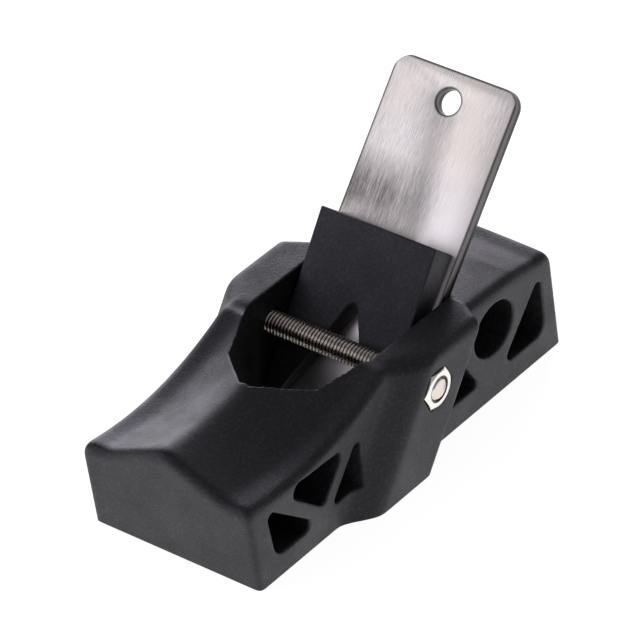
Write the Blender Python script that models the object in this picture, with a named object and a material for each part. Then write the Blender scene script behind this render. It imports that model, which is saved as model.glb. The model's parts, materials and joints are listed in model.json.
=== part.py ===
"""Small hand plane: moulded body, steel blade, forked wedge, threaded cross stud and two nuts.

Frame: +X runs along the sole from toe to heel, +Y across it, +Z up. The origin lies on the sole's
plane, half way along the whole object. Shapes are worked out in millimetres, measured from the
toe's sole edge, and are moved to that origin and scaled to metres as each mesh is made.
"""
import math

import bmesh
import bpy
import numpy as np
from mathutils import Matrix, Vector

MM = 0.001
GAP = 0.3                      # clearance between pieces that rest on or in each other

# Body block
SOLE_LENGTH = 105.2
BODY_HALF_WIDTH = 20.25
TOE_RAKE = 0.193               # how far the toe leans forward, per unit of height
HEEL_RAKE = 0.2                # how far the heel's back leans forward, per unit of height
TOE_OVERHANG = 4.852           # how far the toe's top reaches in front of its sole edge
CORNER_RADIUS = 1.0            # upright corners of toe and heel
EDGE_RADIUS = 2.0              # edges round the top
TOE_EDGE_RADIUS = 2.8          # top edge at the front of the toe

# Top of the toe: hollow along its length, with a soft ridge down its middle
SADDLE_LOW = 20.0
SADDLE_LOW_X = 9.0
SADDLE_RADIUS = 79.0
RIDGE_SLOPE = 0.53             # fall of the ridge's straight sides
RIDGE_HALF_WIDTH = 14.6
RIDGE_CREST = 2.0              # how softly the crest is rounded
RIDGE_FOOT = 0.8               # how softly the foot runs out
WAIST_TOP = 27.9
HEEL_TOP = ((70.0, WAIST_TOP), (74.0, 26.9), (92.0, 26.3), (99.8, 24.9))   # (x, z) break lines
HEEL_CROWN = 0.4

# Cheeks that carry the stud, leaning back like the blade
CHEEK_TOP = 28.3
CHEEK_HALF_WIDTH = 25.0
CHEEK_LEAN = 0.641
CHEEK_RAMP_START = 25.0        # from here the flank curves out smoothly, up to the front
CHEEK_FRONT = 35.0
CHEEK_BACK = 51.0
CHEEK_RAMP_END = 53.0
CHEEK_INNER_HALF_WIDTH = 20.1
CHEEK_TOP_RADIUS = 2.4
CHEEK_REAR_RADIUS = 0.6

# Blade and its bed
BED_ANGLE = math.radians(52.2)
EDGE_X = 47.4                  # where the blade's front face meets the sole plane
BLADE_START = 0.4
BLADE_LENGTH = 79.1
BLADE_HALF_WIDTH = 14.7
BLADE_THICKNESS = 2.8
BLADE_CORNER_RADIUS = 3.8
BLADE_BEVEL = math.radians(30)
BLADE_HOLE_RADIUS = 2.75
BLADE_HOLE_S = 72.7

# Throat: the well in front of the bed, pointed towards the toe
THROAT_HALF_WIDTH = 15.3
THROAT_NOSE = (22.7, 1.3)
THROAT_SHOULDER = (31.5, 10.4)
THROAT_SIDE_START = 44.5
THROAT_KNEE = 22.0             # height where the upright rim turns into the sloping well
THROAT_TOP = 45.0
THROAT_BOTTOM = -1.0           # the well is cut past the sole's plane
MOUTH_FRONT = 45.4

# Wedge, forked at its lower end
WEDGE_TOP_S = 44.3
WEDGE_TIP_S = 5.0
WEDGE_HALF_WIDTH = 14.0
WEDGE_OFFSET_Y = 0.5
WEDGE_TAPER = math.tan(math.radians(6.35))
NOTCH_APEX_S = 28.2
NOTCH_RADIUS = 1.2
NOTCH_HALF_ANGLE = math.radians(23.3)

# M5 stud and nuts
STUD_X = 52.9
STUD_Z = 19.7
STUD_RADIUS = 2.5
STUD_HALF_LENGTH = 25.4
STUD_CHAMFER = 0.5
NUT_ACROSS_FLATS = 8.0
NUT_HEIGHT = 4.0
NUT_OUTER_Y = 25.3
NUT_FACE_INSET = 0.2           # the round face stays this far inside the flats
NUT_BORE_RADIUS = STUD_RADIUS + GAP

# Side pockets: corners in X and Z, each with its radius, and the depth below the flank
SIDE_POCKETS = (
    (((5.4, 5.1, 3.4), (19.5, 5.1, 1.6), (1.9, 18.3, 1.1)), 9.0),
    (((7.2, 18.6, 1.9), (21.0, 7.8, 1.5), (28.0, 17.9, 1.5)), 9.0),
    (((23.7, 5.8, 1.1), (32.6, 6.3, 0.8), (33.5, 10.8, 4.0), (33.3, 19.7, 1.5)), 7.0),
    (((61.5, 6.0, 1.1), (75.0, 6.0, 1.1), (68.4, 15.0, 1.1)), 9.0),
    (((83.5, 5.7, 1.5), (99.1, 5.7, 3.2), (96.4, 21.5, 1.4)), 9.0),
)
OVAL_POCKET_CENTRE = (79.9, 16.9)
OVAL_POCKET_HALF_SIZES = (6.9, 6.1)
OVAL_POCKET_DEPTH = 9.0

# Cutters
CUTTER_REACH = 28.0            # how far out from the centre plane the side cutters start
CUTTER_SLACK = 1.0             # how far other cutters run past the faces they open
CUTTER_OFFSET = 0.01           # keeps a cutter's flat face off the face it lies on
TRIM_DEPTH = 3.0               # the body is made this much too deep, then cut flat at the sole

# Steps along curves
ARC_STEPS = 4
END_STEPS = 5
LENGTH_STEPS = 26
RIDGE_STEPS = 10
RAMP_STEPS = 8
FINE_ARC_STEPS = 6
CIRCLE_STEPS = 32

ORIGIN_X = (SOLE_LENGTH - TOE_OVERHANG) / 2


# --- materials -----------------------------------------------------------------------------------

def material(name, colour, roughness, metallic):
    """Return a Principled material of one colour."""
    made = bpy.data.materials.new(name)
    made.use_nodes = True
    shader = made.node_tree.nodes["Principled BSDF"]
    shader.inputs["Base Color"].default_value = (*colour, 1.0)
    shader.inputs["Roughness"].default_value = roughness
    shader.inputs["Metallic"].default_value = metallic
    made.diffuse_color = (*colour, 1.0)
    return made


# --- meshes --------------------------------------------------------------------------------------

def to_frame(point):
    """Turn a point in millimetres from the toe's sole edge into the frame's metres."""
    return Vector((point[0] - ORIGIN_X, point[1], point[2])) * MM


def blade_matrix():
    """Local axes of everything on the bed: X up the blade, Y across, Z out of its front face."""
    place = Matrix.Translation(to_frame((EDGE_X, 0, 0)))
    return place @ Matrix.Rotation(-BED_ANGLE, 4, "Y")


def finish_mesh(name, bm, smooth_angle=30):
    """Turn a closed bmesh into an object, with its faces out and its round parts smooth."""
    bmesh.ops.remove_doubles(bm, verts=bm.verts, dist=1e-7)
    bmesh.ops.recalc_face_normals(bm, faces=bm.faces)
    mesh = bpy.data.meshes.new(name)
    bm.to_mesh(mesh)
    bm.free()
    mesh.shade_smooth()
    mesh.set_sharp_from_angle(angle=math.radians(smooth_angle))
    made = bpy.data.objects.new(name, mesh)
    bpy.context.collection.objects.link(made)
    return made


def joined_rings(bm, rings):
    """Skin a list of equal rings of vertices, each to the next, and cap both ends."""
    count = len(rings[0])
    for ring, following in zip(rings, rings[1:]):
        for i in range(count):
            j = (i + 1) % count
            bm.faces.new((ring[i], ring[j], following[j], following[i]))
    bm.faces.new(rings[0])
    bm.faces.new(rings[-1])


def rounded_outline(corners):
    """Round the corners of an outline, each given as two coordinates and a radius, which may be 0."""
    points = []
    count = len(corners)
    for i in range(count):
        corner, radius = Vector(corners[i][:2]), corners[i][2]
        if not radius:
            points.append(tuple(corner))
            continue
        before = (Vector(corners[i - 1][:2]) - corner).normalized()
        after = (Vector(corners[(i + 1) % count][:2]) - corner).normalized()
        half = before.angle(after) / 2
        centre = corner + (before + after).normalized() * (radius / math.sin(half))
        start = corner + before * (radius / math.tan(half)) - centre
        turn = start.angle_signed(corner + after * (radius / math.tan(half)) - centre)
        for k in range(ARC_STEPS + 1):
            spoke = start.copy()
            spoke.rotate(Matrix.Rotation(-turn * k / ARC_STEPS, 2))
            points.append(tuple(centre + spoke))
    return points


def ellipse(centre, half_width, half_height, steps=CIRCLE_STEPS):
    """Points round an ellipse in a plane."""
    turns = [2 * math.pi * k / steps for k in range(steps)]
    return [(centre[0] + half_width * math.cos(a), centre[1] + half_height * math.sin(a))
            for a in turns]


def circle(centre, radius, steps=CIRCLE_STEPS):
    """Points round a circle in a plane."""
    return ellipse(centre, radius, radius, steps)


def side_prism(bm, outline, y_low, y_high):
    """Extrude an outline in X and Z between two values of Y."""
    rings = [[bm.verts.new(to_frame((x, y, z))) for x, z in outline] for y in (y_low, y_high)]
    joined_rings(bm, rings)


def turned(bm, profile):
    """Turn a profile of (radius, y) pairs round the stud's axis, and cap its ends."""
    rings = []
    for radius, y in profile:
        outline = circle((STUD_X, STUD_Z), radius)
        rings.append([bm.verts.new(to_frame((x, y, z))) for x, z in outline])
    joined_rings(bm, rings)


def as_cutter(tool):
    """Hide a construction object from the finished model."""
    tool.hide_render = True
    tool.display_type = "WIRE"
    return tool


def boolean(target, tool, operation):
    """Join a tool to an object, cut it out, or keep only what both share."""
    step = target.modifiers.new(f"{operation.lower()} {tool.name}", "BOOLEAN")
    step.operation = operation
    step.solver = "EXACT"
    step.object = as_cutter(tool)


# --- body ----------------------------------------------------------------------------------------

def top_height(x, y):
    """Height of the block's top, before its edges are rounded."""
    if x > HEEL_TOP[0][0]:
        flat = float(np.interp(x, *zip(*HEEL_TOP)))
        return flat + HEEL_CROWN * (1 - (y / BODY_HALF_WIDTH) ** 2)
    hollow = SADDLE_LOW + (x - SADDLE_LOW_X) ** 2 / (2 * SADDLE_RADIUS)
    ridge = 0.0
    if x < THROAT_SIDE_START:
        straight = RIDGE_SLOPE * (RIDGE_HALF_WIDTH - math.hypot(y, RIDGE_CREST))
        ridge = (straight + math.hypot(straight, RIDGE_FOOT)) / 2
    return min(hollow, WAIST_TOP) + ridge


def round_off(distance, radius):
    """How far a rounded edge has fallen back at a distance from the end it rounds."""
    short = max(0.0, radius - distance)
    return radius - math.sqrt(radius ** 2 - short ** 2)


def block_section(bm, along, from_end):
    """One ring of vertices round the block, at a fraction of its length."""
    half = BODY_HALF_WIDTH - round_off(from_end, CORNER_RADIUS)
    drop = round_off(from_end, TOE_EDGE_RADIUS if along < 0.5 else EDGE_RADIUS)
    across = []
    for k in range(ARC_STEPS + 1):
        lean = math.pi / 2 * k / ARC_STEPS
        across.append((half - EDGE_RADIUS * (1 - math.cos(lean)), EDGE_RADIUS * (1 - math.sin(lean))))
    flat_half = half - EDGE_RADIUS
    for k in range(1, RIDGE_STEPS):
        across.append((flat_half * (1 - k / RIDGE_STEPS), 0.0))
    top = across + [(0.0, 0.0)] + [(-y, sag) for y, sag in reversed(across)]
    nominal_x = along * SOLE_LENGTH - (1 - along) * TOE_OVERHANG
    outline = [(half, -TRIM_DEPTH)]
    outline += [(y, top_height(nominal_x, y) - sag - drop) for y, sag in top]
    outline.append((-half, -TRIM_DEPTH))
    ring = []
    for y, z in outline:
        x = (1 - along) * -TOE_RAKE * z + along * (SOLE_LENGTH - HEEL_RAKE * z)
        ring.append(bm.verts.new(to_frame((x, y, z))))
    return ring


def body_block():
    """Toe, waist and heel as one lofted block, with rounded corners."""
    length = SOLE_LENGTH + TOE_OVERHANG
    end_distances = [TOE_EDGE_RADIUS * (1 - math.cos(math.pi / 2 * k / END_STEPS))
                     for k in range(END_STEPS + 1)]
    stations = [(d / length, d) for d in end_distances]
    first = TOE_EDGE_RADIUS / length
    for k in range(1, LENGTH_STEPS):
        stations.append((first + (1 - 2 * first) * k / LENGTH_STEPS, TOE_EDGE_RADIUS))
    stations += [(1 - d / length, d) for d in reversed(end_distances)]
    bm = bmesh.new()
    joined_rings(bm, [block_section(bm, along, from_end) for along, from_end in stations])
    return finish_mesh("body", bm)


def cheek_plan(inset):
    """Both cheeks seen from above, drawn in by an inset: a smooth ramp out and a short one back."""
    swell = CHEEK_HALF_WIDTH - CHEEK_INNER_HALF_WIDTH
    inner = CHEEK_INNER_HALF_WIDTH - inset
    right = []
    for k in range(RAMP_STEPS + 1):
        t = k / RAMP_STEPS
        x = CHEEK_RAMP_START + inset + t * (CHEEK_FRONT - CHEEK_RAMP_START)
        right.append((x, inner + swell * t * t * (3 - 2 * t), 0.0))
    right.append((CHEEK_BACK - inset, inner + swell, CHEEK_REAR_RADIUS))
    right.append((CHEEK_RAMP_END, inner, 0.0))
    return rounded_outline(right + [(x, -y, radius) for x, y, radius in reversed(right)])


def cheeks():
    """Both cheeks as one leaning block across the body, rounded off at its top."""
    levels = [(-TRIM_DEPTH, 0.0)]
    for k in range(ARC_STEPS + 1):
        lean = math.pi / 2 * k / ARC_STEPS
        levels.append((CHEEK_TOP - CHEEK_TOP_RADIUS * (1 - math.sin(lean)),
                       CHEEK_TOP_RADIUS * (1 - math.cos(lean))))
    bm = bmesh.new()
    joined_rings(bm, [[bm.verts.new(to_frame((x + CHEEK_LEAN * z, y, z)))
                       for x, y in cheek_plan(inset)] for z, inset in levels])
    return finish_mesh("cheek_block", bm)


def throat():
    """The well from the pointed rim down to the mouth, with the bed as its back wall."""
    rim = (THROAT_NOSE, THROAT_SHOULDER, (THROAT_SIDE_START, THROAT_HALF_WIDTH))
    bed_x = EDGE_X + (BLADE_THICKNESS + GAP) / math.sin(BED_ANGLE)
    points = [(x, y, z) for x, y in rim for z in (THROAT_KNEE, THROAT_TOP)]
    points += [(bed_x + z / math.tan(BED_ANGLE), THROAT_HALF_WIDTH, z)
               for z in (THROAT_BOTTOM, THROAT_TOP)]
    points.append((MOUTH_FRONT, THROAT_HALF_WIDTH, THROAT_BOTTOM))
    bm = bmesh.new()
    for x, y, z in points:
        bm.verts.new(to_frame((x, y, z)))
        bm.verts.new(to_frame((x, -y, z)))
    hull = bmesh.ops.convex_hull(bm, input=bm.verts)
    bmesh.ops.delete(bm, geom=hull["geom_interior"], context="VERTS")
    return finish_mesh("throat_cutter", bm)


def side_pockets():
    """The recesses in the flanks of toe and heel, the same on both sides."""
    outlines = [(rounded_outline(corners), depth) for corners, depth in SIDE_POCKETS]
    outlines.append((ellipse(OVAL_POCKET_CENTRE, *OVAL_POCKET_HALF_SIZES), OVAL_POCKET_DEPTH))
    bm = bmesh.new()
    for outline, depth in outlines:
        for side in (-1, 1):
            side_prism(bm, outline, side * (BODY_HALF_WIDTH - depth), side * CUTTER_REACH)
    return finish_mesh("pocket_cutter", bm)


def hexagon(across_flats):
    """A hexagon round the stud's axis, with two corners along X."""
    return circle((STUD_X, STUD_Z), across_flats / math.sqrt(3), 6)


def stud_seat():
    """The stud's hole through both cheeks and the nuts' pockets at its ends."""
    hole_radius = STUD_RADIUS + GAP
    pocket_floor = NUT_OUTER_Y - NUT_HEIGHT - GAP
    hole_end = pocket_floor + CUTTER_SLACK
    bm = bmesh.new()
    turned(bm, ((hole_radius, -hole_end), (hole_radius, hole_end)))
    hole = finish_mesh("stud_hole_cutter", bm)
    bm = bmesh.new()
    for side in (-1, 1):
        side_prism(bm, hexagon(NUT_ACROSS_FLATS + 2 * GAP), side * pocket_floor, side * CUTTER_REACH)
    return hole, finish_mesh("nut_pocket_cutter", bm)


def sole_trim():
    """A slab below the sole, which cuts the body flat."""
    front, back, bottom = -CUTTER_REACH, SOLE_LENGTH + CUTTER_REACH, -2 * TRIM_DEPTH
    bm = bmesh.new()
    side_prism(bm, ((front, bottom), (back, bottom), (back, 0), (front, 0)),
               -CUTTER_REACH, CUTTER_REACH)
    return finish_mesh("sole_cutter", bm)


def body(plastic):
    """The moulded body: block and cheeks, less throat, pockets and stud seat."""
    made = body_block()
    boolean(made, cheeks(), "UNION")
    boolean(made, sole_trim(), "DIFFERENCE")
    boolean(made, throat(), "DIFFERENCE")
    boolean(made, side_pockets(), "DIFFERENCE")
    for tool in stud_seat():
        boolean(made, tool, "DIFFERENCE")
    made.data.materials.append(plastic)
    return made


# --- pieces on the bed ---------------------------------------------------------------------------

def bed_slab(bm, outline, back, front):
    """Fill an outline in the bed's plane between two faces, given as maps to (s, y, height)."""
    rings = [[bm.verts.new(Vector(face(s, y)) * MM) for s, y in outline] for face in (back, front)]
    joined_rings(bm, rings)


def blade(steel):
    """The blade: a plate with round top corners, a hanging hole and a ground bevel."""
    radius = BLADE_CORNER_RADIUS
    right_side = [(BLADE_START, BLADE_HALF_WIDTH)]
    for k in range(FINE_ARC_STEPS + 1):
        a = math.pi / 2 * k / FINE_ARC_STEPS
        right_side.append((BLADE_LENGTH - radius + radius * math.sin(a),
                           BLADE_HALF_WIDTH - radius + radius * math.cos(a)))
    outline = right_side + [(s, -y) for s, y in reversed(right_side)]
    bevel_end = BLADE_START + BLADE_THICKNESS / math.tan(BLADE_BEVEL)
    bm = bmesh.new()
    bed_slab(bm, outline, lambda s, y: (max(s, bevel_end), y, -BLADE_THICKNESS),
             lambda s, y: (s, y, 0.0))
    made = finish_mesh("blade", bm)
    bm = bmesh.new()
    bed_slab(bm, circle((BLADE_HOLE_S, 0), BLADE_HOLE_RADIUS),
             lambda s, y: (s, y, -2 * BLADE_THICKNESS), lambda s, y: (s, y, BLADE_THICKNESS))
    tool = finish_mesh("blade_hole_cutter", bm)
    for piece in (made, tool):
        piece.matrix_world = blade_matrix()
    boolean(made, tool, "DIFFERENCE")
    made.data.materials.append(steel)
    return made


def wedge_front(s):
    """Height of the wedge's front face above the blade, touching the stud but for the gap."""
    stud_s = (STUD_X - EDGE_X) * math.cos(BED_ANGLE) + STUD_Z * math.sin(BED_ANGLE)
    stud_height = STUD_Z * math.cos(BED_ANGLE) - (STUD_X - EDGE_X) * math.sin(BED_ANGLE)
    return stud_height - STUD_RADIUS - GAP + (s - stud_s) * WEDGE_TAPER


def wedge(plastic):
    """The wedge: thick at its top, with a V notch that leaves two legs."""
    virtual_apex = NOTCH_APEX_S + NOTCH_RADIUS * (1 / math.sin(NOTCH_HALF_ANGLE) - 1)
    leg_y = (virtual_apex - WEDGE_TIP_S) * math.tan(NOTCH_HALF_ANGLE)
    arc_s = NOTCH_APEX_S - NOTCH_RADIUS
    sweep = math.pi / 2 - NOTCH_HALF_ANGLE
    outline = [(WEDGE_TIP_S, -leg_y), (WEDGE_TIP_S, -WEDGE_HALF_WIDTH),
               (WEDGE_TOP_S, -WEDGE_HALF_WIDTH), (WEDGE_TOP_S, WEDGE_HALF_WIDTH),
               (WEDGE_TIP_S, WEDGE_HALF_WIDTH), (WEDGE_TIP_S, leg_y)]
    for k in range(FINE_ARC_STEPS + 1):
        a = sweep * (1 - 2 * k / FINE_ARC_STEPS)
        outline.append((arc_s + NOTCH_RADIUS * math.cos(a), NOTCH_RADIUS * math.sin(a)))
    bm = bmesh.new()
    bed_slab(bm, [(s, y + WEDGE_OFFSET_Y) for s, y in outline], lambda s, y: (s, y, GAP),
             lambda s, y: (s, y, wedge_front(s)))
    made = finish_mesh("wedge", bm)
    made.matrix_world = blade_matrix()
    made.data.materials.append(plastic)
    return made


# --- stud and nuts -------------------------------------------------------------------------------

def cross_stud(steel):
    """The stud that spans the throat, with chamfered ends."""
    tip = STUD_RADIUS - STUD_CHAMFER
    shoulder = STUD_HALF_LENGTH - STUD_CHAMFER
    bm = bmesh.new()
    turned(bm, ((tip, -STUD_HALF_LENGTH), (STUD_RADIUS, -shoulder), (STUD_RADIUS, shoulder),
                (tip, STUD_HALF_LENGTH)))
    made = finish_mesh("cross_stud", bm)
    made.data.materials.append(steel)
    return made


def nut(name, side, steel):
    """A hexagon nut with chamfered corners and a clear bore, in one cheek's pocket."""
    inner, outer = side * (NUT_OUTER_Y - NUT_HEIGHT), side * NUT_OUTER_Y
    bm = bmesh.new()
    side_prism(bm, hexagon(NUT_ACROSS_FLATS), inner, outer)
    made = finish_mesh(name, bm)
    corner = NUT_ACROSS_FLATS / math.sqrt(3)
    flat = NUT_ACROSS_FLATS / 2
    chamfer_end = outer - side * (corner - flat) * math.tan(math.radians(30))
    clear = corner + CUTTER_SLACK
    below = inner - side * CUTTER_SLACK
    bm = bmesh.new()
    turned(bm, ((flat - NUT_FACE_INSET, outer + side * CUTTER_OFFSET), (corner, chamfer_end),
                (clear, chamfer_end), (clear, below)))
    boolean(made, finish_mesh(f"{name}_chamfer", bm), "INTERSECT")
    bm = bmesh.new()
    turned(bm, ((NUT_BORE_RADIUS, below), (NUT_BORE_RADIUS, outer + side * CUTTER_SLACK)))
    boolean(made, finish_mesh(f"{name}_bore", bm), "DIFFERENCE")
    made.data.materials.append(steel)
    return made


def main():
    for old in list(bpy.data.objects):
        bpy.data.objects.remove(old, do_unlink=True)
    body(material("body_plastic", (0.012, 0.012, 0.014), 0.55, 0.0))
    blade(material("blade_steel", (0.56, 0.54, 0.52), 0.34, 1.0))
    wedge(material("wedge_plastic", (0.014, 0.014, 0.016), 0.5, 0.0))
    cross_stud(material("stud_steel", (0.45, 0.41, 0.38), 0.3, 1.0))
    nut_steel = material("nut_steel", (0.72, 0.7, 0.68), 0.25, 1.0)
    nut("nut_right", -1, nut_steel)
    nut("nut_left", 1, nut_steel)


main()
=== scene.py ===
"""Looks of the small hand plane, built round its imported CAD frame.

Shapes are worked out in millimetres from the toe's sole edge, as the design's own sizes are, and
are moved to the frame by the body's box. The body is formed in two stages, as a mould would make
it: the outer form with broad soft edges, then the openings with small crisp ones.
"""

import json
import math

import bmesh
import bpy
import numpy as np
from mathutils import Matrix, Vector


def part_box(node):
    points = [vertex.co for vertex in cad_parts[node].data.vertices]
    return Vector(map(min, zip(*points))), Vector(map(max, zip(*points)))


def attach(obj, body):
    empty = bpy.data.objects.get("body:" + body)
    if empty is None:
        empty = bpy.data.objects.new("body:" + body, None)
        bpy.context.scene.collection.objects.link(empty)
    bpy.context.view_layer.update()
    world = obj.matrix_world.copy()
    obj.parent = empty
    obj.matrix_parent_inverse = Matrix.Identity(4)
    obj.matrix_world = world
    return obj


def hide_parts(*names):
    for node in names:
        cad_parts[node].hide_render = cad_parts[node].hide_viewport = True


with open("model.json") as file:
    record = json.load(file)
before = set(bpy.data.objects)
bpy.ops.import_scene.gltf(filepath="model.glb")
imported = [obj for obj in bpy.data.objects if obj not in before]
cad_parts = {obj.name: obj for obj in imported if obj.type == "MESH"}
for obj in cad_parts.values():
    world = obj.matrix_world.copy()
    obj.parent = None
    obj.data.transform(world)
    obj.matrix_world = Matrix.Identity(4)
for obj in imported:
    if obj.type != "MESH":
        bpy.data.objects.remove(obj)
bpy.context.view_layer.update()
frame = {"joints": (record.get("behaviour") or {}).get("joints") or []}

MM = 0.001

# Body block
SOLE_LENGTH = 105.2
BODY_HALF_WIDTH = 20.25
TOE_RAKE = 0.193
HEEL_RAKE = 0.2
TOE_OVERHANG = 4.852
CORNER_RADIUS = 1.0
EDGE_RADIUS = 2.0
TOE_EDGE_RADIUS = 2.8
SADDLE_LOW = 20.0
SADDLE_LOW_X = 9.0
SADDLE_RADIUS = 79.0
RIDGE_SLOPE = 0.53             # fall of the ridge's straight sides
RIDGE_HALF_WIDTH = 14.6
RIDGE_CREST = 2.0              # how softly the crest is rounded
RIDGE_FOOT = 0.8               # how softly the foot runs out
WAIST_TOP = 27.9
HEEL_TOP = ((70.0, WAIST_TOP), (74.0, 26.9), (92.0, 26.3), (99.8, 24.9))
HEEL_CROWN = 0.4
SKIN = 0.05                    # the outer form is pulled in this much, to stay inside the CAD box

# Cheeks
CHEEK_TOP = 28.3
CHEEK_HALF_WIDTH = 25.0
CHEEK_LEAN = 0.641
CHEEK_RAMP_START = 25.0        # from here the flank curves out smoothly, up to the front
CHEEK_FRONT = 35.0
CHEEK_BACK = 51.0
CHEEK_RAMP_END = 53.0
CHEEK_INNER_HALF_WIDTH = 20.1
CHEEK_TOP_RADIUS = 2.4
CHEEK_REAR_RADIUS = 0.6

# Throat
THROAT_HALF_WIDTH = 15.3
THROAT_NOSE = (22.7, 1.3)
THROAT_SHOULDER = (31.5, 10.4)
THROAT_SIDE_START = 44.5
THROAT_KNEE = 22.0
THROAT_TOP = 45.0
MOUTH_FRONT = 45.4

# Side pockets: corners in X and Z, each with its radius, and the depth below the flank
SIDE_POCKETS = (
    (((5.4, 5.1, 3.4), (19.5, 5.1, 1.6), (1.9, 18.3, 1.1)), 9.0),
    (((7.2, 18.6, 1.9), (21.0, 7.8, 1.5), (28.0, 17.9, 1.5)), 9.0),
    (((23.7, 5.8, 1.1), (32.6, 6.3, 0.8), (33.5, 10.8, 4.0), (33.3, 19.7, 1.5)), 7.0),
    (((61.5, 6.0, 1.1), (75.0, 6.0, 1.1), (68.4, 15.0, 1.1)), 9.0),
    (((83.5, 5.7, 1.5), (99.1, 5.7, 3.2), (96.4, 21.5, 1.4)), 9.0),
)
OVAL_POCKET_CENTRE = (79.9, 16.9)
OVAL_POCKET_HALF_SIZES = (6.9, 6.1)
OVAL_POCKET_DEPTH = 9.0
CUTTER_REACH = 28.0
TRIM_DEPTH = 3.0

# Blade
EDGE_X = 47.4
GAP = 0.3
BLADE_START = 0.4
BLADE_LENGTH = 79.1
BLADE_HALF_WIDTH = 14.7
BLADE_THICKNESS = 2.8
BLADE_CORNER_RADIUS = 3.8
BLADE_BEVEL = math.radians(30)
BLADE_HOLE_RADIUS = 2.75
BLADE_HOLE_S = 72.7
BLADE_EDGE_ROUND = 0.22

# Wedge
WEDGE_TOP_S = 44.3
WEDGE_TIP_S = 5.0
WEDGE_HALF_WIDTH = 14.0
WEDGE_OFFSET_Y = 0.5
WEDGE_TAPER = math.tan(math.radians(6.35))
NOTCH_APEX_S = 28.2
NOTCH_RADIUS = 1.2
NOTCH_HALF_ANGLE = math.radians(23.3)
WEDGE_EDGE_ROUND = 0.35

# M5 stud and nuts
STUD_X = 52.9
STUD_Z = 19.7
STUD_RADIUS = 2.5
STUD_HALF_LENGTH = 25.4
THREAD_PITCH = 0.8
THREAD_DEPTH = 0.46
THREAD_SKIN = 0.03             # the crests stay this much inside the CAD stud
STUD_END_DROP = 0.45           # how much smaller the chamfered ends are
STUD_END_SLOPE = 1.1           # growth of the chamfer's radius along the stud
NUT_ACROSS_FLATS = 8.0
NUT_HEIGHT = 4.0
NUT_OUTER_Y = 25.3
NUT_FACE_INSET = 0.15          # the round face stays this far inside the flats
NUT_SINK = 0.45                # countersink of the bore
NUT_RUN_IN = 0.4               # depth of the bore's run in
NUT_BORE_PLAY = 0.12           # the bore is this much wider than the thread's root
NUT_EDGE_ROUND = 0.08

# Marks and patches of painted light on the blade, up it and across it: each fades in or out between
# two places
SMEAR_START = (45.0, 49.0)
SMEAR_END = (52.0, 60.0)
SMEAR_SIDE = (-10.0, 6.0)
# Painted light: a brighter patch part-way across and up the face, and a brightened lower end
LIT_PATCH_SIDE = (-11.0, -1.0)
LIT_PATCH_END = (50.0, 64.0)
LOWER_LIT_PATCH_END = (30.0, 36.0)
RIM_LINE = (0.3, 0.6)          # dark line along its edges, measured in from them
SHEAR_LINE = (-1.7, -1.4)      # where the narrow faces turn from torn to cut, below the front face

# Stud and nut, from the stud's axis and along it: where the painted shade ends in roots and bore
ROOT_SHADE = (2.06, 2.32)
BORE_SHADE = (2.85, 3.0)
BRIGHT_END = (24.7, 25.0)

# Black plastic: its darker and lighter tone, and its roughness
BODY_TONES = ((0.0055, 0.0055, 0.006), (0.010, 0.010, 0.011))
BODY_ROUGHNESS = 0.44
WEDGE_TONES = ((0.006, 0.006, 0.0068), (0.011, 0.011, 0.0125))
WEDGE_ROUGHNESS = 0.48

TOE_EDGE_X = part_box("body")[1].x / MM - SOLE_LENGTH
BED_AXIS = Vector(frame["joints"][0]["axis"])
BED_ANGLE = math.atan2(BED_AXIS.z, BED_AXIS.x)

# Light: name, place, size (metres) and brightness of each softbox
FLOOR_Z = -0.0002
FLOOR_BASE = 0.3
FLOOR_GLOW = 0.93
ROOM_LIGHT = 0.28
LIGHT_COLOUR = (0.94, 0.915, 1.0)
LIT_POINT = Vector((0.0, 0.0, 0.02))
SOFTBOXES = (
    ("behind", (0.85, 0.78, 0.16), 0.95, 3.7),
    ("front_left", (-0.9, 0.7, 0.6), 0.9, 1.3),
)

# Camera: a long lens that looks down on the toe from the right
CAMERA_AZIMUTH = math.radians(-54.39)
CAMERA_ELEVATION = math.radians(34.38)
CAMERA_EYE = (-615.6, -475.1, 587.3)
CAMERA_LENS = 281.25


# --- meshes --------------------------------------------------------------------------------------

def to_frame(point):
    """Turn a point in millimetres from the toe's sole edge into the frame's metres."""
    return Vector((point[0] + TOE_EDGE_X, point[1], point[2])) * MM


def bed_matrix():
    """Local axes of everything on the bed: X up the blade, Y across, Z out of its front face."""
    return Matrix.Translation(to_frame((EDGE_X, 0, 0))) @ Matrix.Rotation(-BED_ANGLE, 4, "Y")


def new_object(name, bm, sharp_angle=35):
    """Turn a closed bmesh into an object with its faces out, smooth but for its sharp edges."""
    bmesh.ops.remove_doubles(bm, verts=bm.verts, dist=1e-7)
    bmesh.ops.recalc_face_normals(bm, faces=bm.faces)
    mesh = bpy.data.meshes.new(name)
    bm.to_mesh(mesh)
    bm.free()
    made = bpy.data.objects.new(name, mesh)
    bpy.context.scene.collection.objects.link(made)
    shade(made, sharp_angle)
    return made


def shade(thing, sharp_angle):
    """Shade a piece smooth, with sharp edges where its faces meet at more than an angle."""
    thing.data.shade_smooth()
    thing.data.set_sharp_from_angle(angle=math.radians(sharp_angle))


def skinned(bm, rings):
    """Skin equal rings of vertices, each to the next, and cap both ends."""
    count = len(rings[0])
    for ring, following in zip(rings, rings[1:]):
        for i in range(count):
            j = (i + 1) % count
            bm.faces.new((ring[i], ring[j], following[j], following[i]))
    bm.faces.new(rings[0])
    bm.faces.new(rings[-1])


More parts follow.
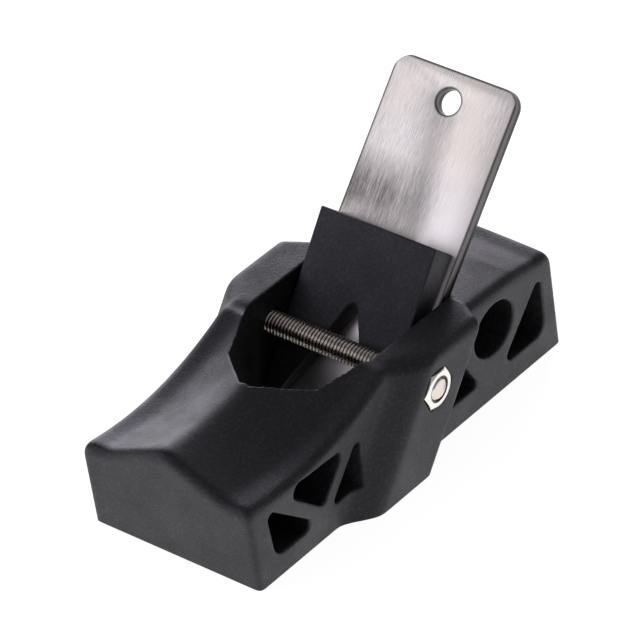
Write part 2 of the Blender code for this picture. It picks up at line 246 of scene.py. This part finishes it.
def rounded_outline(corners, steps=10):
    """Round an outline's corners, each given as two coordinates and a radius, which may be 0."""
    points = []
    count = len(corners)
    for i in range(count):
        corner, radius = Vector(corners[i][:2]), corners[i][2]
        if not radius:
            points.append(tuple(corner))
            continue
        before = (Vector(corners[i - 1][:2]) - corner).normalized()
        after = (Vector(corners[(i + 1) % count][:2]) - corner).normalized()
        half = before.angle(after) / 2
        centre = corner + (before + after).normalized() * (radius / math.sin(half))
        start = corner + before * (radius / math.tan(half)) - centre
        turn = start.angle_signed(corner + after * (radius / math.tan(half)) - centre)
        for k in range(steps + 1):
            spoke = start.copy()
            spoke.rotate(Matrix.Rotation(-turn * k / steps, 2))
            points.append(tuple(centre + spoke))
    return points


def ellipse(centre, half_width, half_height, steps):
    """Points round an ellipse in a plane."""
    turns = [2 * math.pi * k / steps for k in range(steps)]
    return [(centre[0] + half_width * math.cos(a), centre[1] + half_height * math.sin(a))
            for a in turns]


def circle(centre, radius, steps):
    """Points round a circle in a plane."""
    return ellipse(centre, radius, radius, steps)


def side_prism(bm, outline, y_low, y_high):
    """Extrude an outline in X and Z between two values of Y."""
    skinned(bm, [[bm.verts.new(to_frame((x, y, z))) for x, z in outline] for y in (y_low, y_high)])


def turned(bm, profile, steps=64):
    """Turn a closed loop or a capped line of (radius, y) pairs round the stud's axis."""
    centre = (STUD_X, STUD_Z)
    skinned(bm, [[bm.verts.new(to_frame((x, y, z))) for x, z in circle(centre, radius, steps)]
                 for radius, y in profile])


def modified(thing, kind, **settings):
    """Add a modifier, apply it, and leave the plain mesh."""
    step = thing.modifiers.new(kind, kind)
    for name, value in settings.items():
        setattr(step, name, value)
    graph = bpy.context.evaluated_depsgraph_get()
    mesh = bpy.data.meshes.new_from_object(thing.evaluated_get(graph))
    thing.modifiers.clear()
    old = thing.data
    thing.data = mesh
    mesh.name = thing.name
    bpy.data.meshes.remove(old)


def combined(target, tool, operation):
    """Join a tool to an object or cut it out, and remove the tool."""
    modified(target, "BOOLEAN", operation=operation, solver="EXACT", object=tool)
    bpy.data.objects.remove(tool, do_unlink=True)


def remeshed(thing, cell, smoothing):
    """Rebuild a piece from small even cells and round its edges by smoothing them."""
    modified(thing, "REMESH", mode="VOXEL", voxel_size=cell * MM, use_smooth_shade=True)
    if smoothing:
        modified(thing, "SMOOTH", factor=0.5, iterations=smoothing)


# --- body ----------------------------------------------------------------------------------------

def top_height(x, y):
    """Height of the block's top, before its edges are rounded."""
    if x > HEEL_TOP[0][0]:
        flat = float(np.interp(x, *zip(*HEEL_TOP)))
        return flat + HEEL_CROWN * (1 - (y / BODY_HALF_WIDTH) ** 2)
    hollow = SADDLE_LOW + (x - SADDLE_LOW_X) ** 2 / (2 * SADDLE_RADIUS)
    ridge = 0.0
    if x < THROAT_SIDE_START:
        straight = RIDGE_SLOPE * (RIDGE_HALF_WIDTH - math.hypot(y, RIDGE_CREST))
        ridge = (straight + math.hypot(straight, RIDGE_FOOT)) / 2
    return min(hollow, WAIST_TOP) + ridge


def round_off(distance, radius):
    """How far a rounded edge has fallen back at a distance from the end it rounds."""
    short = max(0.0, radius - distance)
    return radius - math.sqrt(radius ** 2 - short ** 2)


def block_section(bm, along, from_end):
    """One ring of vertices round the block, at a fraction of its length."""
    edge_steps = 8
    ridge_steps = 28
    half = BODY_HALF_WIDTH - SKIN - round_off(from_end, CORNER_RADIUS)
    drop = round_off(from_end, TOE_EDGE_RADIUS if along < 0.5 else EDGE_RADIUS)
    across = []
    for k in range(edge_steps + 1):
        lean = math.pi / 2 * k / edge_steps
        across.append((half - EDGE_RADIUS * (1 - math.cos(lean)),
                       EDGE_RADIUS * (1 - math.sin(lean))))
    flat_half = half - EDGE_RADIUS
    across += [(flat_half * (1 - k / ridge_steps), 0.0) for k in range(1, ridge_steps)]
    top = across + [(0.0, 0.0)] + [(-y, sag) for y, sag in reversed(across)]
    nominal_x = along * SOLE_LENGTH - (1 - along) * TOE_OVERHANG
    outline = [(half, -TRIM_DEPTH)]
    outline += [(y, top_height(nominal_x, y) - sag - drop - SKIN) for y, sag in top]
    outline.append((-half, -TRIM_DEPTH))
    ring = []
    for y, z in outline:
        x = (1 - along) * (SKIN - TOE_RAKE * z) + along * (SOLE_LENGTH - SKIN - HEEL_RAKE * z)
        ring.append(bm.verts.new(to_frame((x, y, z))))
    return ring


def body_block():
    """Toe, waist and heel as one lofted block, with rounded corners."""
    end_steps = 9
    middle_steps = 110
    length = SOLE_LENGTH + TOE_OVERHANG
    ends = [TOE_EDGE_RADIUS * (1 - math.cos(math.pi / 2 * k / end_steps))
            for k in range(end_steps + 1)]
    first = TOE_EDGE_RADIUS / length
    stations = [(d / length, d) for d in ends]
    stations += [(first + (1 - 2 * first) * k / middle_steps, TOE_EDGE_RADIUS)
                 for k in range(1, middle_steps)]
    stations += [(1 - d / length, d) for d in reversed(ends)]
    bm = bmesh.new()
    skinned(bm, [block_section(bm, along, from_end) for along, from_end in stations])
    return new_object("plane_body", bm)


def cheek_plan(inset):
    """Both cheeks seen from above, drawn in by an inset: a smooth ramp out and a short one back."""
    ramp_steps = 28
    swell = CHEEK_HALF_WIDTH - SKIN - CHEEK_INNER_HALF_WIDTH
    inner = CHEEK_INNER_HALF_WIDTH - inset
    right = []
    for k in range(ramp_steps + 1):
        t = k / ramp_steps
        x = CHEEK_RAMP_START + inset + t * (CHEEK_FRONT - CHEEK_RAMP_START)
        right.append((x, inner + swell * t * t * (3 - 2 * t), 0.0))
    right.append((CHEEK_BACK - inset, inner + swell, CHEEK_REAR_RADIUS))
    right.append((CHEEK_RAMP_END, inner, 0.0))
    return rounded_outline(right + [(x, -y, radius) for x, y, radius in reversed(right)])


def cheek_block():
    """Both cheeks as one leaning block across the body, rounded off at its top."""
    steps = 10
    levels = [(-TRIM_DEPTH, 0.0)]
    for k in range(steps + 1):
        lean = math.pi / 2 * k / steps
        levels.append((CHEEK_TOP - SKIN - CHEEK_TOP_RADIUS * (1 - math.sin(lean)),
                       CHEEK_TOP_RADIUS * (1 - math.cos(lean))))
    bm = bmesh.new()
    skinned(bm, [[bm.verts.new(to_frame((x + CHEEK_LEAN * z, y, z)))
                  for x, y in cheek_plan(inset)] for z, inset in levels])
    return new_object("cheek_block", bm)


def throat_cutter():
    """The well from the pointed rim down to the mouth, with the bed as its back wall."""
    rim = (THROAT_NOSE, THROAT_SHOULDER, (THROAT_SIDE_START, THROAT_HALF_WIDTH))
    bed_x = EDGE_X + (BLADE_THICKNESS + GAP) / math.sin(BED_ANGLE)
    bottom = -TRIM_DEPTH - 1
    points = [(x, y, z) for x, y in rim for z in (THROAT_KNEE, THROAT_TOP)]
    points += [(bed_x + z / math.tan(BED_ANGLE), THROAT_HALF_WIDTH, z)
               for z in (bottom, THROAT_TOP)]
    slope = (MOUTH_FRONT - THROAT_NOSE[0]) / (THROAT_KNEE + 1)
    points.append((MOUTH_FRONT - slope * (bottom + 1), THROAT_HALF_WIDTH, bottom))
    bm = bmesh.new()
    for x, y, z in points:
        bm.verts.new(to_frame((x, y, z)))
        bm.verts.new(to_frame((x, -y, z)))
    hull = bmesh.ops.convex_hull(bm, input=bm.verts)
    bmesh.ops.delete(bm, geom=hull["geom_interior"], context="VERTS")
    return new_object("throat_cutter", bm)


def pocket_cutter():
    """The recesses in the flanks of toe and heel, the same on both sides."""
    outlines = [(rounded_outline(corners), depth) for corners, depth in SIDE_POCKETS]
    outlines.append((ellipse(OVAL_POCKET_CENTRE, *OVAL_POCKET_HALF_SIZES, 72), OVAL_POCKET_DEPTH))
    bm = bmesh.new()
    for outline, depth in outlines:
        for side in (-1, 1):
            side_prism(bm, outline, side * (BODY_HALF_WIDTH - depth), side * CUTTER_REACH)
    return new_object("pocket_cutter", bm)


def hexagon(across_flats):
    """A hexagon round the stud's axis, with two corners along X."""
    return circle((STUD_X, STUD_Z), across_flats / math.sqrt(3), 6)


def stud_seat_cutter():
    """The stud's hole through both cheeks, and the nuts' pockets at its ends."""
    floor = NUT_OUTER_Y - NUT_HEIGHT - GAP
    bm = bmesh.new()
    turned(bm, ((STUD_RADIUS + GAP, -CUTTER_REACH - 1), (STUD_RADIUS + GAP, CUTTER_REACH + 1)))
    seat = new_object("stud_seat_cutter", bm)
    for side in (-1, 1):
        bm = bmesh.new()
        side_prism(bm, hexagon(NUT_ACROSS_FLATS + GAP), side * floor, side * CUTTER_REACH)
        combined(seat, new_object("nut_pocket_cutter", bm), "UNION")
    return seat


def cut_flat(thing):
    """Cut a piece level at the sole's plane and close the cut, leaving the mouth open."""
    bm = bmesh.new()
    bm.from_mesh(thing.data)
    cut = bmesh.ops.bisect_plane(bm, geom=bm.verts[:] + bm.edges[:] + bm.faces[:], dist=1e-7,
                                 plane_co=(0, 0, 0), plane_no=(0, 0, 1), clear_inner=True)
    rim = [e for e in cut["geom_cut"] if isinstance(e, bmesh.types.BMEdge)]
    bmesh.ops.triangle_fill(bm, edges=rim, use_beauty=True, use_dissolve=False)
    bmesh.ops.recalc_face_normals(bm, faces=bm.faces)
    bm.to_mesh(thing.data)
    bm.free()


def body():
    """The moulded body: broad soft edges outside, small crisp ones round its openings."""
    form_cell, form_smoothing = 0.4, 8
    final_cell, final_smoothing = 0.27, 8
    made = body_block()
    combined(made, cheek_block(), "UNION")
    remeshed(made, form_cell, form_smoothing)
    for cutter in (throat_cutter(), pocket_cutter(), stud_seat_cutter()):
        combined(made, cutter, "DIFFERENCE")
    remeshed(made, final_cell, final_smoothing)
    cut_flat(made)
    shade(made, 40)
    return made


# --- pieces on the bed ---------------------------------------------------------------------------

def bed_slab(bm, outline, back, front):
    """Fill an outline in the bed's plane between two faces, given as maps to (s, y, height)."""
    skinned(bm, [[bm.verts.new(Vector(face(s, y)) * MM) for s, y in outline]
                 for face in (back, front)])


def blade():
    """The blade: a plate with round top corners, a hanging hole and a ground bevel."""
    radius = BLADE_CORNER_RADIUS
    corner_steps = 16
    arc = [math.pi / 2 * k / corner_steps for k in range(corner_steps + 1)]
    corner = [(BLADE_LENGTH - radius + radius * math.sin(a),
               BLADE_HALF_WIDTH - radius + radius * math.cos(a)) for a in arc]
    outline = [(BLADE_START, BLADE_HALF_WIDTH)] + corner
    outline += [(s, -y) for s, y in reversed(outline)]
    bevel_end = BLADE_START + BLADE_THICKNESS / math.tan(BLADE_BEVEL)
    bm = bmesh.new()
    bed_slab(bm, outline, lambda s, y: (max(s, bevel_end), y, -BLADE_THICKNESS),
             lambda s, y: (s, y, 0.0))
    made = new_object("plane_blade", bm)
    bm = bmesh.new()
    hole = circle((BLADE_HOLE_S, 0), BLADE_HOLE_RADIUS, 64)
    bed_slab(bm, hole, lambda s, y: (s, y, -2 * BLADE_THICKNESS),
             lambda s, y: (s, y, BLADE_THICKNESS))
    combined(made, new_object("blade_hole_cutter", bm), "DIFFERENCE")
    modified(made, "BEVEL", width=BLADE_EDGE_ROUND * MM, segments=3, limit_method="ANGLE",
             angle_limit=math.radians(40), use_clamp_overlap=True)
    shade(made, 30)
    made.matrix_world = bed_matrix()
    return made


def wedge_front(s):
    """Height of the wedge's front face above the blade, touching the stud but for the gap."""
    stud_s = (STUD_X - EDGE_X) * math.cos(BED_ANGLE) + STUD_Z * math.sin(BED_ANGLE)
    stud_height = STUD_Z * math.cos(BED_ANGLE) - (STUD_X - EDGE_X) * math.sin(BED_ANGLE)
    return stud_height - STUD_RADIUS - GAP + (s - stud_s) * WEDGE_TAPER


def wedge():
    """The wedge: thick at its top, with a V notch that leaves two legs."""
    arc_steps = 14
    virtual_apex = NOTCH_APEX_S + NOTCH_RADIUS * (1 / math.sin(NOTCH_HALF_ANGLE) - 1)
    leg_y = (virtual_apex - WEDGE_TIP_S) * math.tan(NOTCH_HALF_ANGLE)
    sweep = math.pi / 2 - NOTCH_HALF_ANGLE
    outline = [(WEDGE_TIP_S, -leg_y), (WEDGE_TIP_S, -WEDGE_HALF_WIDTH),
               (WEDGE_TOP_S, -WEDGE_HALF_WIDTH), (WEDGE_TOP_S, WEDGE_HALF_WIDTH),
               (WEDGE_TIP_S, WEDGE_HALF_WIDTH), (WEDGE_TIP_S, leg_y)]
    for k in range(arc_steps + 1):
        a = sweep * (1 - 2 * k / arc_steps)
        outline.append((NOTCH_APEX_S - NOTCH_RADIUS + NOTCH_RADIUS * math.cos(a),
                        NOTCH_RADIUS * math.sin(a)))
    bm = bmesh.new()
    bed_slab(bm, [(s, y + WEDGE_OFFSET_Y) for s, y in outline],
             lambda s, y: (s, y, GAP / 3), lambda s, y: (s, y, wedge_front(s)))
    made = new_object("plane_wedge", bm)
    modified(made, "BEVEL", width=WEDGE_EDGE_ROUND * MM, segments=4, limit_method="ANGLE",
             angle_limit=math.radians(40), use_clamp_overlap=True)
    shade(made, 30)
    made.matrix_world = bed_matrix()
    return made


# --- stud and nuts -------------------------------------------------------------------------------

def thread_height(y, turn):
    """Share of the thread's depth at a place on the helix: flanks with flat crest and root."""
    crest, root = 0.16, 0.22
    phase = (y / THREAD_PITCH - turn) % 1.0
    ramp = (1 - crest - root) / 2
    if phase < crest:
        return 1.0
    if phase < crest + ramp:
        return 1 - (phase - crest) / ramp
    if phase < crest + ramp + root:
        return 0.0
    return (phase - crest - ramp - root) / ramp


def stud():
    """The stud: a helical thread from end to end, run out at its chamfered ends."""
    around = 40
    per_pitch = 12
    rows = int(2 * STUD_HALF_LENGTH / THREAD_PITCH * per_pitch)
    crest = STUD_RADIUS - THREAD_SKIN
    rings = []
    bm = bmesh.new()
    for i in range(rows + 1):
        y = -STUD_HALF_LENGTH + 2 * STUD_HALF_LENGTH * i / rows
        from_end = STUD_HALF_LENGTH - abs(y)
        end_limit = STUD_RADIUS - STUD_END_DROP + from_end * STUD_END_SLOPE
        ring = []
        for j in range(around):
            turn = j / around
            radius = crest - THREAD_DEPTH * (1 - thread_height(y, turn))
            radius = min(radius, end_limit)
            a = 2 * math.pi * turn
            ring.append(bm.verts.new(to_frame((STUD_X + radius * math.cos(a), y,
                                               STUD_Z + radius * math.sin(a)))))
        rings.append(ring)
    skinned(bm, rings)
    return new_object("threaded_stud", bm, 60)


def nut(name, side):
    """A hexagon nut: corners chamfered on both faces, and a plain countersunk bore."""
    outer, inner = NUT_OUTER_Y, NUT_OUTER_Y - NUT_HEIGHT
    corner = NUT_ACROSS_FLATS / math.sqrt(3)
    flat = NUT_ACROSS_FLATS / 2 - NUT_FACE_INSET
    drop = (corner - flat) * math.tan(math.radians(30))
    bm = bmesh.new()
    side_prism(bm, hexagon(NUT_ACROSS_FLATS), side * inner, side * outer)
    made = new_object(name, bm)
    chamfer_profile = (
        (flat, outer),
        (corner, outer - drop),
        (corner + 1, outer - drop),
        (corner + 1, inner + drop),
        (corner, inner + drop),
        (flat, inner),
    )
    bm = bmesh.new()
    turned(bm, [(r, side * y) for r, y in chamfer_profile], 96)
    combined(made, new_object(f"{name}_chamfer", bm), "INTERSECT")
    mouth = STUD_RADIUS + GAP
    bore = STUD_RADIUS - THREAD_DEPTH + NUT_BORE_PLAY
    bore_profile = (
        (mouth + NUT_SINK, outer + NUT_SINK),
        (mouth, outer),
        (bore, outer - NUT_RUN_IN),
        (bore, inner + NUT_RUN_IN),
        (mouth, inner),
        (mouth + NUT_SINK, inner - NUT_SINK),
    )
    bm = bmesh.new()
    turned(bm, [(r, side * y) for r, y in bore_profile])
    combined(made, new_object(f"{name}_bore", bm), "DIFFERENCE")
    modified(made, "BEVEL", width=NUT_EDGE_ROUND * MM, segments=2, limit_method="ANGLE",
             angle_limit=math.radians(25), use_clamp_overlap=True)
    shade(made, 30)
    return made


# --- materials -----------------------------------------------------------------------------------

class Nodes:
    """A short way to write a material's node tree."""

    def __init__(self, name):
        """Start a material with one Principled shader."""
        self.material = bpy.data.materials.new(name)
        self.material.use_nodes = True
        self.tree = self.material.node_tree
        self.shader = self.tree.nodes["Principled BSDF"]

    def add(self, kind, **settings):
        """Add a node and set its properties."""
        made = self.tree.nodes.new(kind)
        for name, value in settings.items():
            setattr(made, name, value)
        return made

    def link(self, source, target):
        """Join an output socket to an input socket."""
        self.tree.links.new(source, target)

    def coordinates(self, scale=(1, 1, 1)):
        """The piece's own coordinates, stretched by a scale on each axis."""
        place = self.add("ShaderNodeTexCoord")
        mapping = self.add("ShaderNodeMapping")
        mapping.inputs["Scale"].default_value = scale
        self.link(place.outputs["Object"], mapping.inputs["Vector"])
        return mapping.outputs["Vector"]

    def noise(self, vector, scale, detail=4.0, roughness=0.55):
        """Noise over a vector, from about 0.3 to 0.7."""
        made = self.add("ShaderNodeTexNoise")
        made.inputs["Scale"].default_value = scale
        made.inputs["Detail"].default_value = detail
        made.inputs["Roughness"].default_value = roughness
        self.link(vector, made.inputs["Vector"])
        return made.outputs["Fac"]

    def spread(self, value, low, high, to_low, to_high):
        """Map a range of values to another one, and hold its ends."""
        made = self.add("ShaderNodeMapRange")
        made.inputs["From Min"].default_value = low
        made.inputs["From Max"].default_value = high
        made.inputs["To Min"].default_value = to_low
        made.inputs["To Max"].default_value = to_high
        self.link(value, made.inputs["Value"])
        return made.outputs["Result"]

    def fade(self, place, between, start, end):
        """Go from a start to an end value between two places, given in millimetres."""
        low, high = between
        return self.spread(place, low * MM, high * MM, start, end)

    def maths(self, operation, first, second=0.0):
        """Combine two values, each a number or a socket."""
        made = self.add("ShaderNodeMath", operation=operation)
        for socket, value in zip(made.inputs, (first, second)):
            if isinstance(value, (int, float)):
                socket.default_value = value
            else:
                self.link(value, socket)
        return made.outputs["Value"]

    def mixed(self, share, first, second):
        """Blend two colours, each a tuple or a socket."""
        made = self.add("ShaderNodeMix", data_type="RGBA")
        self.link(share, made.inputs["Factor"])
        for name, value in (("A", first), ("B", second)):
            socket = next(s for s in made.inputs if s.name == name and s.type == "RGBA")
            if isinstance(value, tuple):
                socket.default_value = (*value, 1.0)
            else:
                self.link(value, socket)
        return next(s for s in made.outputs if s.type == "RGBA")

    def bump(self, height, strength, distance, normal=None):
        """A surface direction bent by a height map, on top of another direction if given."""
        made = self.add("ShaderNodeBump")
        made.inputs["Strength"].default_value = strength
        made.inputs["Distance"].default_value = distance
        self.link(height, made.inputs["Height"])
        if normal is not None:
            self.link(normal, made.inputs["Normal"])
        return made.outputs["Normal"]

    def edges(self, low, high):
        """How sharply the surface turns outward, from 0 on flats to 1 on edges."""
        shape = self.add("ShaderNodeNewGeometry")
        return self.spread(shape.outputs["Pointiness"], low, high, 0.0, 1.0)


def moulded_plastic(name, tones, base_roughness):
    """Black moulded plastic: fine spark grain, faint cloudiness, dust, and paler edges that are
    partly rubbed wear and partly a painted highlight.
    """
    dark, light = tones
    dusty = tuple(c * 6 for c in light)
    worn_and_highlight_tone = tuple(c * 2.5 for c in light)
    n = Nodes(name)
    place = n.coordinates()
    clouds = n.spread(n.noise(place, 90.0, 5.0, 0.6), 0.35, 0.65, 0.0, 1.0)
    grain = n.noise(place, 2600.0, 3.0, 0.6)
    fine_grain = n.noise(place, 7000.0, 2.0, 0.5)
    dust = n.spread(n.noise(place, 1500.0, 4.0, 0.7), 0.5, 0.78, 0.0, 0.7)
    # paler edges: partly rubbed wear, partly a painted highlight for the light that the rounded
    # edges catch
    rubbed_and_highlight_mask = n.maths("MULTIPLY", n.edges(0.53, 0.62), 0.3)
    colour = n.mixed(dust, n.mixed(clouds, dark, light), dusty)
    n.link(n.mixed(rubbed_and_highlight_mask, colour, worn_and_highlight_tone), n.shader.inputs["Base Color"])
    roughness = n.spread(n.maths("ADD", grain, clouds), 0.4, 1.4,
                         base_roughness - 0.06, base_roughness + 0.1)
    n.link(roughness, n.shader.inputs["Roughness"])
    normal = n.bump(grain, 0.35, 0.00028)
    normal = n.bump(fine_grain, 0.3, 0.00004, normal)
    n.link(normal, n.shader.inputs["Normal"])
    n.shader.inputs["IOR"].default_value = 1.47
    n.shader.inputs["Specular Tint"].default_value = (0.92, 0.90, 1.0, 1.0)
    return n.material


def brushed_face(n, streaks, clouds, up, across):
    """Colour of the blade's faces: bright streaks, warm clouds, a dark smear and two patches of
    painted light.
    """
    long_streaks = n.noise(n.coordinates((14, 420, 20)), 3.0, 5.0, 0.65)
    clean = n.mixed(n.spread(streaks, 0.38, 0.6, 0.0, 1.0), (0.36, 0.345, 0.33), (0.95, 0.91, 0.88))
    colour = n.mixed(n.spread(clouds, 0.4, 0.65, 0.0, 0.6), clean, (0.74, 0.68, 0.60))
    smear = n.maths("MULTIPLY", n.fade(up, SMEAR_START, 0.5, 1.0), n.fade(up, SMEAR_END, 1.0, 0.0))
    patches = n.spread(n.maths("ADD", long_streaks, clouds), 0.75, 1.05, 0.6, 1.0)
    scratches = n.spread(streaks, 0.42, 0.66, 1.0, 0.6)
    for share in (n.fade(across, SMEAR_SIDE, 0.12, 1.0), patches, scratches):
        smear = n.maths("MULTIPLY", smear, share)
    colour = n.mixed(smear, colour, (0.09, 0.075, 0.07))
    # painted light: a brighter patch on one side, and the lower end brightened where the throat
    # gets little light
    painted_light = n.maths("MULTIPLY", n.fade(across, LIT_PATCH_SIDE, 0.75, 0.0),
                    n.fade(up, LIT_PATCH_END, 1.0, 0.0))
    painted_light = n.maths("MAXIMUM", painted_light, n.fade(up, LOWER_LIT_PATCH_END, 0.75, 0.0))
    return n.mixed(painted_light, colour, (0.98, 0.94, 0.92))


def blade_rim(n, up, across):
    """Where the dark line runs: along the blade's sides and top, and round its hole."""
    line_start, line_end = RIM_LINE
    from_hole = n.add("ShaderNodeVectorMath", operation="DISTANCE")
    n.link(n.coordinates((1, 1, 0)), from_hole.inputs[0])
    from_hole.inputs[1].default_value = (BLADE_HOLE_S * MM, 0, 0)
    hole_line = (BLADE_HOLE_RADIUS + 0.25, BLADE_HOLE_RADIUS + 0.55)
    side_line = (BLADE_HALF_WIDTH - line_end, BLADE_HALF_WIDTH - line_start)
    top_line = (BLADE_LENGTH - line_end, BLADE_LENGTH - line_start)
    rim = n.maths("MAXIMUM", n.fade(n.maths("ABSOLUTE", across), side_line, 0.0, 1.0),
                  n.fade(up, top_line, 0.0, 1.0))
    return n.maths("MAXIMUM", rim, n.fade(from_hole.outputs["Value"], hole_line, 1.0, 0.0))


def sheared_edge(n, clouds, height):
    """Colour of the blade's narrow faces: cut clean near the front, torn and darker below."""
    waviness = n.maths("MULTIPLY", n.spread(clouds, 0.3, 0.7, -1.0, 1.0), 0.3 * MM)
    ragged = n.maths("ADD", height, waviness)
    return n.mixed(n.fade(ragged, SHEAR_LINE, 0.0, 1.0), (0.03, 0.026, 0.03), (0.14, 0.13, 0.13))


def brushed_blade(name):
    """Sheet steel brushed along the blade, with dark smears, and sheared, darker narrow faces."""
    n = Nodes(name)
    streaks = n.noise(n.coordinates((90, 1500, 60)), 3.0, 8.0, 0.85)
    clouds = n.noise(n.coordinates((45, 60, 60)), 1.0, 3.0, 0.55)
    source = n.add("ShaderNodeTexCoord")
    place = n.add("ShaderNodeSeparateXYZ")
    n.link(source.outputs["Object"], place.inputs["Vector"])
    up, across, height = place.outputs["X"], place.outputs["Y"], place.outputs["Z"]
    facing = n.add("ShaderNodeSeparateXYZ")
    n.link(source.outputs["Normal"], facing.inputs["Vector"])
    narrow = n.spread(n.maths("ABSOLUTE", facing.outputs["Z"]), 0.25, 0.6, 1.0, 0.0)
    rim = n.maths("MULTIPLY", blade_rim(n, up, across), 0.85)
    colour = n.mixed(rim, brushed_face(n, streaks, clouds, up, across), (0.08, 0.07, 0.07))
    colour = n.mixed(narrow, colour, sheared_edge(n, clouds, height))
    n.link(colour, n.shader.inputs["Base Color"])
    n.link(n.spread(streaks, 0.3, 0.7, 0.3, 0.44), n.shader.inputs["Roughness"])
    n.shader.inputs["Metallic"].default_value = 1.0
    n.link(n.bump(streaks, 0.4, 0.00005), n.shader.inputs["Normal"])
    return n.material


def stud_distance(n):
    """Distance from the stud's axis."""
    made = n.add("ShaderNodeVectorMath", operation="DISTANCE")
    n.link(n.coordinates((1, 0, 1)), made.inputs[0])
    made.inputs[1].default_value = to_frame((STUD_X, 0, STUD_Z))
    return made.outputs["Value"]


def thread_steel(name):
    """Rolled thread steel: warm bright crests and ends, and roots darkened with painted shade."""
    n = Nodes(name)
    place = n.coordinates()
    mottle = n.noise(place, 900.0, 4.0, 0.6)
    bright = n.mixed(n.spread(mottle, 0.35, 0.65, 0.0, 1.0), (0.76, 0.69, 0.62), (1.0, 0.94, 0.87))
    along = n.add("ShaderNodeSeparateXYZ")
    n.link(place, along.inputs["Vector"])
    end = n.fade(n.maths("ABSOLUTE", along.outputs["Y"]), BRIGHT_END, 0.0, 1.0)
    # painted shade: the thread's roots are darkened towards the axis
    crest = n.fade(stud_distance(n), ROOT_SHADE, 0.0, 1.0)
    colour = n.mixed(crest, (0.10, 0.085, 0.07), bright)
    n.link(n.mixed(end, colour, (0.80, 0.72, 0.66)), n.shader.inputs["Base Color"])
    n.link(n.spread(mottle, 0.3, 0.7, 0.2, 0.34), n.shader.inputs["Roughness"])
    n.shader.inputs["Metallic"].default_value = 1.0
    n.link(n.bump(mottle, 0.2, 0.00003), n.shader.inputs["Normal"])
    return n.material


def plated_steel(name):
    """Bright plated nut, with small scuffs, and painted shade darkening its bore round the stud."""
    n = Nodes(name)
    place = n.coordinates()
    scuffs = n.noise(place, 1800.0, 5.0, 0.65)
    colour = n.mixed(n.spread(scuffs, 0.4, 0.7, 0.0, 1.0), (0.98, 0.97, 0.93), (0.88, 0.86, 0.81))
    # painted shade: the bore round the stud is darkened
    bore = n.fade(stud_distance(n), BORE_SHADE, 1.0, 0.0)
    colour = n.mixed(bore, colour, (0.05, 0.045, 0.04))
    n.link(colour, n.shader.inputs["Base Color"])
    n.link(n.spread(scuffs, 0.3, 0.7, 0.16, 0.32), n.shader.inputs["Roughness"])
    n.shader.inputs["Metallic"].default_value = 1.0
    n.link(n.bump(scuffs, 0.15, 0.00003), n.shader.inputs["Normal"])
    return n.material


def lit_acrylic(name):
    """The white acrylic of a light table, lit a little from below."""
    n = Nodes(name)
    cloud = n.noise(n.coordinates(), 3.0, 2.0, 0.5)
    colour = n.mixed(cloud, (FLOOR_BASE,) * 3, (FLOOR_BASE + 0.04,) * 3)
    n.link(colour, n.shader.inputs["Base Color"])
    n.shader.inputs["Roughness"].default_value = 0.6
    n.shader.inputs["Emission Color"].default_value = (1.0, 1.0, 1.0, 1.0)
    n.shader.inputs["Emission Strength"].default_value = FLOOR_GLOW
    return n.material


# --- stage ---------------------------------------------------------------------------------------

def soft_light(name, place, size, radiance):
    """A square softbox of a given brightness, aimed at the object."""
    lamp = bpy.data.lights.new(name, "AREA")
    lamp.shape = "SQUARE"
    lamp.size = size
    lamp.energy = radiance * math.pi * size ** 2
    lamp.color = LIGHT_COLOUR
    made = bpy.data.objects.new(name, lamp)
    bpy.context.scene.collection.objects.link(made)
    made.location = place
    made.rotation_euler = (LIT_POINT - Vector(place)).to_track_quat("-Z", "Y").to_euler()


def stage():
    """A light table, dim room light and big softboxes behind and to the left of the object."""
    bm = bmesh.new()
    bmesh.ops.create_grid(bm, x_segments=8, y_segments=8, size=3.0)
    floor = new_object("floor", bm)
    floor.location = (0, 0, FLOOR_Z)
    floor.data.materials.append(lit_acrylic("lit_acrylic"))
    world = bpy.data.worlds.new("studio")
    bpy.context.scene.world = world
    world.use_nodes = True
    sky = world.node_tree.nodes["Background"]
    sky.inputs["Color"].default_value = (*LIGHT_COLOUR, 1.0)
    sky.inputs["Strength"].default_value = ROOM_LIGHT
    for name, place, size, radiance in SOFTBOXES:
        soft_light(name, place, size, radiance)


def camera():
    """The camera, at the eye that sees the object from its toe and right side."""
    a, e = CAMERA_AZIMUTH, CAMERA_ELEVATION
    right = Vector((math.cos(a), math.sin(a), 0))
    back = Vector((math.sin(a) * math.cos(e), -math.cos(a) * math.cos(e), math.sin(e)))
    up = back.cross(right)
    view = bpy.data.cameras.new("camera")
    view.lens = CAMERA_LENS
    view.sensor_width = 36.0
    view.clip_start, view.clip_end = 0.05, 10.0
    made = bpy.data.objects.new("camera", view)
    bpy.context.scene.collection.objects.link(made)
    turn = Matrix((right, up, back)).transposed().to_4x4()
    made.matrix_world = Matrix.Translation(to_frame(CAMERA_EYE)) @ turn
    bpy.context.scene.camera = made


# --- assembly ------------------------------------------------------------------------------------

def placed(piece, node, body_name, material):
    """Let a piece stand for a CAD node, move with its body and wear its material."""
    piece.data.materials.clear()
    piece.data.materials.append(material)
    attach(piece, body_name)
    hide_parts(node)


def main():
    """Set the stage and the camera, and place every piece."""
    stage()
    camera()
    bpy.context.scene.view_settings.view_transform = "Standard"
    placed(body(), "body", "plane_body",
           moulded_plastic("body_plastic", BODY_TONES, BODY_ROUGHNESS))
    placed(blade(), "blade", "blade", brushed_blade("blade_steel"))
    placed(wedge(), "wedge", "wedge",
           moulded_plastic("wedge_plastic", WEDGE_TONES, WEDGE_ROUGHNESS))
    placed(stud(), "cross_stud", "plane_body", thread_steel("stud_steel"))
    nut_steel = plated_steel("nut_steel")
    placed(nut("hex_nut_right", -1), "nut_right", "plane_body", nut_steel)
    placed(nut("hex_nut_left", 1), "nut_left", "plane_body", nut_steel)


main()
